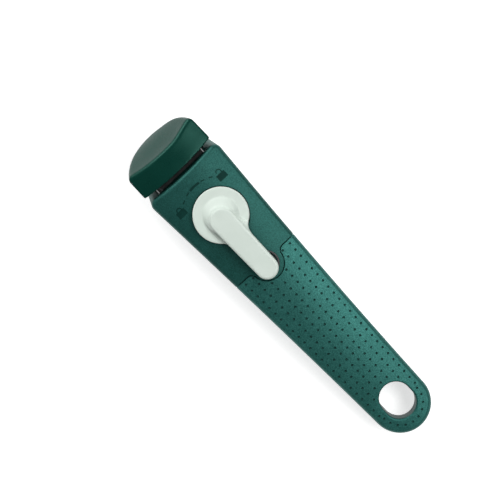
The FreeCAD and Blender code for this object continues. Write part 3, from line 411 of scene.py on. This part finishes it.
def show(mesh, name, node, angle=32):
    """Puts a finished mesh in the scene in place of a CAD node: smooth, but sharp past angle."""
    mesh.materials.clear()
    mesh.materials.append(FINISH[SLOT[node]])
    piece = placed(name, mesh)
    mesh.shade_smooth()
    mesh.set_sharp_from_angle(angle=math.radians(angle))
    if node in ("grip_cover", "base"):
        darken_bore(mesh)
    if node in ("grip_cover", "front_cover"):
        settle_top(mesh)
    mount(piece, node)
    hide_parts(node)


def rise(value, low, high):
    """Smooth step from 0 to 1 as value goes from low to high."""
    share = min(max((value - low) / (high - low), 0.0), 1.0)
    return share * share * (3 - 2 * share)


BROW_BACK = 2.2 * MM                # how far the brow is drawn back at the middle, and
BROW_LESS = 1.0 * MM                # how much less at the head's corners
BROW_CORNER = 1.3 * MM              # how far the corner on the far side is drawn forward
ARM_SHIFT = 1.1 * MM                # how far the lever's arm stands to one side of its hub, and
ARM_FORWARD = 2.4 * MM              # how far its root stands towards its tip


def lean_brow(mesh):
    """Draws the head's brow back, most at the middle, so that its face leans more than its rear."""
    for spot in mesh.vertices:
        x, y, z = spot.co
        ahead = FRONT.x + (z - FRONT.z) * math.tan(LEAN) - x
        amount = BROW_BACK - BROW_LESS * (y / HEAD_HALF) ** 2
        spot.co.x += amount * rise(z, 9 * MM, 30 * MM) * rise(ahead, 5 * MM, 13 * MM)
        spot.co.x -= BROW_CORNER * rise(y, 6 * MM, 19 * MM) * rise(ahead, 9 * MM, 15 * MM)


def set_arm(mesh):
    """Moves the lever's raised arm a little off the hub, so that its root clears its skirt's ring."""
    for spot in mesh.vertices:
        x, y, z = spot.co
        out = x - HUB.x
        risen = rise(z, 32.7 * MM, 35.0 * MM)
        spot.co.y -= ARM_SHIFT * max(risen, rise(out, 8 * MM, 18 * MM))
        spot.co.x += ARM_FORWARD * risen * (1 - rise(out, -3 * MM, 10 * MM))


def evaluated(holder):
    """The mesh that a holder's modifiers make; the holder itself goes."""
    ready = holder.evaluated_get(bpy.context.evaluated_depsgraph_get())
    made = bpy.data.meshes.new_from_object(ready)
    bpy.data.objects.remove(holder)
    return made


def softened(node, grain, rounds):
    """A copy of a CAD node's mesh, remade in small even faces and smoothed to moulded edges."""
    holder = placed("holder", merged_copy(node, f"{node}_soft"))
    remade = holder.modifiers.new("remade", "REMESH")
    remade.mode, remade.voxel_size, remade.adaptivity = "VOXEL", grain, 0.0
    eased = holder.modifiers.new("eased", "SMOOTH")
    eased.factor, eased.iterations = 0.5, rounds
    return evaluated(holder)


def grown(mesh, tree, inputs):
    """The mesh that a Geometry Nodes tree makes of a mesh, with the tree's named inputs set."""
    holder = placed("holder", mesh)
    modifier = holder.modifiers.new("made", "NODES")
    modifier.node_group = tree
    for item in tree.interface.items_tree:
        if item.item_type == "SOCKET" and item.in_out == "INPUT" and item.name in inputs:
            modifier[item.identifier] = inputs[item.name]
    return evaluated(holder)


# ---- Grip dimples --------------------------------------------------------------------------------
ROW_SHARES = (0.0, 0.26, 0.53, 0.79)         # of the grip's half width
DIMPLE_PITCH = 4.05 * MM
DIMPLE_RADIUS = 0.62 * MM
DIMPLE_DEPTH = 0.45 * MM
FIRST_X = HUB.x + 33.2 * MM                  # where every row starts
ARC_X = 83.0 * MM                            # middle of the arc of dimples round the tail
ARC_RADIUS = 11.15 * MM
SEAM_BULGE = 8.4 * MM                        # radius of the seam's bulge round the button
SEAM_FLANK_X = HUB.x + 31.0 * MM
SEAM_MARGIN = 2.0 * MM
HOLE_MARGIN = 1.5 * MM


def grip_half_width(x):
    """Half width of the grip's outline at x: a long shallow flare between seam and tail."""
    share = min(max((x - GRIP_LOW.x) / (TAIL_X - GRIP_LOW.x), 0.0), 1.0)
    return (GRIP_HIGH.y - TAIL_ROUND) * (1 - share) ** 1.08 + TAIL_ROUND - 0.4 * MM


def seam_x(y):
    """x of the wavy seam at y: a bulge round the button and straight flanks."""
    if abs(y) < SEAM_BULGE * 0.86:
        return BUTTON.x + math.sqrt(SEAM_BULGE ** 2 - y ** 2)
    return SEAM_FLANK_X


def dimple_places():
    """Each dimple's x and y: rows that follow the taper, and an arc round the tail."""
    places = []
    for share in ROW_SHARES:
        for side in ((1,) if share == 0 else (1, -1)):
            x = FIRST_X
            last = ARC_X - 0.6 * DIMPLE_PITCH if share == ROW_SHARES[-1] else HOLE_X
            while x < last:
                y = side * share * grip_half_width(x)
                if x > seam_x(y) + SEAM_MARGIN:
                    places.append((x, y))
                x += DIMPLE_PITCH
    count = round(math.pi * ARC_RADIUS / DIMPLE_PITCH)
    for k in range(count + 1):
        turn = math.pi * k / count - math.pi / 2
        places.append((ARC_X + ARC_RADIUS * math.cos(turn), ARC_RADIUS * math.sin(turn)))
    return [(x, y) for x, y in places if hole_distance(x, y) > HOLE_RADIUS + HOLE_MARGIN]


def dimple_tree():
    """Drops each point on the cover, sinks a ball there and cuts the balls out of the cover."""
    tree = bpy.data.node_groups.new("dimples", "GeometryNodeTree")
    tree.interface.new_socket("Cover", in_out="INPUT", socket_type="NodeSocketGeometry")
    for name in ("Points", "Ball Radius", "Sink"):
        kind = "NodeSocketObject" if name == "Points" else "NodeSocketFloat"
        tree.interface.new_socket(name, in_out="INPUT", socket_type=kind)
    tree.interface.new_socket("Material", in_out="INPUT", socket_type="NodeSocketMaterial")
    tree.interface.new_socket("Geometry", in_out="OUTPUT", socket_type="NodeSocketGeometry")

    def node(kind, settings=None, **values):
        made = tree.nodes.new(kind)
        for key, value in (settings or {}).items():
            setattr(made, key, value)
        for key, value in values.items():
            socket = made.inputs[key.replace("_", " ")]
            if isinstance(value, bpy.types.NodeSocket):
                tree.links.new(value, socket)
            else:
                socket.default_value = value
        return made

    group = node("NodeGroupInput").outputs
    points = node("GeometryNodeObjectInfo", None, Object=group["Points"]).outputs["Geometry"]
    ray = node("GeometryNodeRaycast", None, Target_Geometry=group["Cover"], Ray_Direction=(0, 0, -1),
               Ray_Length=1.0)
    raised = node("ShaderNodeVectorMath", {"operation": "SCALE"}, Vector=ray.outputs["Hit Normal"],
                  Scale=group["Sink"])
    spot = node("ShaderNodeVectorMath", {"operation": "ADD"})
    tree.links.new(ray.outputs["Hit Position"], spot.inputs[0])
    tree.links.new(raised.outputs[0], spot.inputs[1])
    seated = node("GeometryNodeSetPosition", None, Geometry=points, Selection=ray.outputs["Is Hit"],
                  Position=spot.outputs[0])
    ball = node("GeometryNodeMeshIcoSphere", None, Radius=group["Ball Radius"], Subdivisions=3)
    # Each ball's faces carry the pit attribute, so the dimples it cuts take painted shade in the grip's
    # finish.
    marked = node("GeometryNodeStoreNamedAttribute", {"data_type": "FLOAT", "domain": "FACE"},
                  Geometry=ball.outputs[0], Name="pit", Value=1.0)
    balls = node("GeometryNodeInstanceOnPoints", None, Points=seated.outputs[0],
                 Instance=marked.outputs[0])
    real = node("GeometryNodeRealizeInstances", None, Geometry=balls.outputs[0])
    cut = node("GeometryNodeMeshBoolean", {"operation": "DIFFERENCE", "solver": "MANIFOLD"})
    tree.links.new(group["Cover"], cut.inputs["Mesh 1"])
    tree.links.new(real.outputs[0], cut.inputs["Mesh 2"])
    whole = node("GeometryNodeRealizeInstances", None, Geometry=cut.outputs[0])
    dressed = node("GeometryNodeSetMaterial", None, Geometry=whole.outputs[0],
                   Material=group["Material"])
    tree.links.new(dressed.outputs[0], node("NodeGroupOutput").inputs[0])
    return tree


def dimpled_grip():
    """The grip cover with its dimples."""
    points = bpy.data.meshes.new("dimple_points")
    points.from_pydata([(x, y, 0.1) for x, y in dimple_places()], [], [])
    holder = placed("dimple_points", points)
    ball = (DIMPLE_RADIUS ** 2 + DIMPLE_DEPTH ** 2) / (2 * DIMPLE_DEPTH)
    inputs = {"Points": holder, "Ball Radius": ball, "Sink": ball - DIMPLE_DEPTH,
              "Material": FINISH["grip_plastic"]}
    mesh = grown(merged_copy("grip_cover", "grip_cover_dimpled"), dimple_tree(), inputs)
    bpy.data.objects.remove(holder)
    show(mesh, "grip_cover_dimpled", "grip_cover")


# ---- Button bezel --------------------------------------------------------------------------------
BEZEL_TURNS = 72
# The ring's section in mm: distance from the button's axis, and height above the crown.
BEZEL_SECTION = ((5.30, -0.30), (5.30, 0.02), (5.42, 0.14), (5.62, 0.18), (6.05, 0.18), (6.27, 0.13),
                 (6.36, 0.02), (6.36, -0.30))


def button_bezel():
    """A thin black ring let into the cover round the button, following the crown."""
    count = len(BEZEL_SECTION)
    spots = []
    for t in range(BEZEL_TURNS):
        turn = 2 * math.pi * t / BEZEL_TURNS
        for reach, above in BEZEL_SECTION:
            x = BUTTON.x + reach * MM * math.cos(turn)
            y = reach * MM * math.sin(turn)
            spots.append((x, y, top_z(x, y) + above * MM))
    faces = []
    for t in range(BEZEL_TURNS):
        for k in range(count):
            a, b = t * count + k, t * count + (k + 1) % count
            ahead = (t + 1) % BEZEL_TURNS * count
            c, d = ahead + (k + 1) % count, ahead + k
            faces.append((a, d, c, b))
    mesh = bpy.data.meshes.new("button_bezel")
    mesh.from_pydata(spots, [], faces)
    work = bmesh.new()
    work.from_mesh(mesh)
    bmesh.ops.recalc_face_normals(work, faces=work.faces)
    work.to_mesh(mesh)
    work.free()
    mesh.materials.append(FINISH["button_plastic"])
    mesh.shade_smooth()
    mesh.set_sharp_from_angle(angle=math.radians(50))
    piece = placed("button_bezel", mesh)
    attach(piece, "body")


# ---- All pieces ----------------------------------------------------------------------------------
def dress():
    """Puts a finished copy in the place of every CAD node, and the bezel beside them."""
    dimpled_grip()
    button_bezel()
    head = softened("head_cap", 0.36 * MM, 16)
    lean_brow(head)
    show(head, "head_cap_soft", "head_cap", 60)
    lever = softened("lever", 0.30 * MM, 6)
    set_arm(lever)
    show(lever, "lever_soft", "lever", 60)
    for node in NODES:
        if node not in ("grip_cover", "head_cap", "lever"):
            show(merged_copy(node, f"{node}_shown"), f"{node}_shown", node)


# ---- Stage ---------------------------------------------------------------------------------------
FLOOR_HALF = 3.0
FLOOR_DROP = 0.1 * MM               # keeps the floor off the flat underside
FLOOR_GLOW = 0.62                   # brings the open floor up to white for the camera and in reflections
WALL_LIGHT = 0.30
CEILING_LIGHT = 0.42
EYE = Vector((-72.0, 45.4, 1001.7)) * MM
AIM = Vector((-23.9, -1.46, 30.0)) * MM
FRAME_TURN = math.radians(46.64)    # turn of the view about the line of sight
LENS = 144.26                       # mm, on a sensor 36 mm wide


def floor():
    """A white floor that shows plain white where no shadow falls."""
    finish = Finish("floor_white")
    seen = finish.node("ShaderNodeLightPath", output="Is Camera Ray")
    shown = seen + finish.node("ShaderNodeLightPath", output="Is Glossy Ray")
    mottle = finish.noise(0.4, 2.0)
    tone = finish.blend(mottle.step(0.3, 0.7), (0.80, 0.80, 0.80), (0.82, 0.82, 0.82))
    diffuse = finish.node("ShaderNodeBsdfDiffuse", None, {"Color": tone}, "BSDF")
    glow = finish.node("ShaderNodeEmission", None, {"Strength": shown * FLOOR_GLOW}, "Emission")
    both = finish.node("ShaderNodeAddShader", None, {0: diffuse, 1: glow}, "Shader")
    finish.node_output(both)
    mesh = bpy.data.meshes.new("floor")
    signs = ((-1, -1), (1, -1), (1, 1), (-1, 1))
    corners = [(FLOOR_HALF * across, FLOOR_HALF * along, -FLOOR_DROP) for across, along in signs]
    mesh.from_pydata(corners, [], [(0, 1, 2, 3)])
    mesh.materials.append(finish.material)
    placed("floor", mesh)


def studio():
    """Pale walls low down and a dark ceiling, white to the camera."""
    world = bpy.data.worlds.new("studio")
    bpy.context.scene.world = world
    world.use_nodes = True
    tree = world.node_tree
    tree.nodes.clear()
    place = tree.nodes.new("ShaderNodeTexCoord")
    split = tree.nodes.new("ShaderNodeSeparateXYZ")
    tree.links.new(place.outputs["Generated"], split.inputs[0])
    ramp = tree.nodes.new("ShaderNodeMapRange")
    ramp.interpolation_type = "SMOOTHSTEP"
    tree.links.new(split.outputs["Z"], ramp.inputs[0])
    for socket, value in zip(ramp.inputs[1:5], (0.35, 0.85, WALL_LIGHT, CEILING_LIGHT)):
        socket.default_value = value
    path = tree.nodes.new("ShaderNodeLightPath")
    shown = tree.nodes.new("ShaderNodeMix")
    tree.links.new(path.outputs["Is Camera Ray"], shown.inputs[0])
    tree.links.new(ramp.outputs[0], shown.inputs[2])
    shown.inputs[3].default_value = 1.0
    back = tree.nodes.new("ShaderNodeBackground")
    tree.links.new(shown.outputs[0], back.inputs["Strength"])
    out = tree.nodes.new("ShaderNodeOutputWorld")
    tree.links.new(back.outputs[0], out.inputs["Surface"])


def lamp(name, place, aim, size, power):
    """A rectangular lamp at a place, turned to its aim; metres and watts."""
    data = bpy.data.lights.new(name, "AREA")
    data.shape = "RECTANGLE"
    data.size, data.size_y = size
    data.energy = power
    piece = placed(name, data)
    piece.location = place
    piece.rotation_euler = (Vector(aim) - Vector(place)).to_track_quat("-Z", "Y").to_euler()


def camera():
    """A long lens, about a metre above, leaning slightly over the head and the left side."""
    ahead = (AIM - EYE).normalized()
    right = Vector((math.cos(FRAME_TURN), math.sin(FRAME_TURN), 0))
    right = (right - ahead * right.dot(ahead)).normalized()
    up = right.cross(ahead)
    data = bpy.data.cameras.new("view")
    data.sensor_width = 36.0
    data.lens = LENS
    data.clip_start, data.clip_end = 0.05, 20
    piece = placed("view", data)
    turned = Matrix((right, up, -ahead)).transposed()
    piece.matrix_world = Matrix.Translation(EYE) @ turned.to_4x4()
    bpy.context.scene.camera = piece


dress()
floor()
studio()
lamp("key", (0.20, 0.44, 1.05), (0, 0, 0), (0.95, 0.36), 7.8)
lamp("front", (-1.1, 0.1, 0.40), (-0.09, 0, 0), (0.7, 0.5), 9)
camera()
bpy.context.scene.view_settings.view_transform = "Standard"
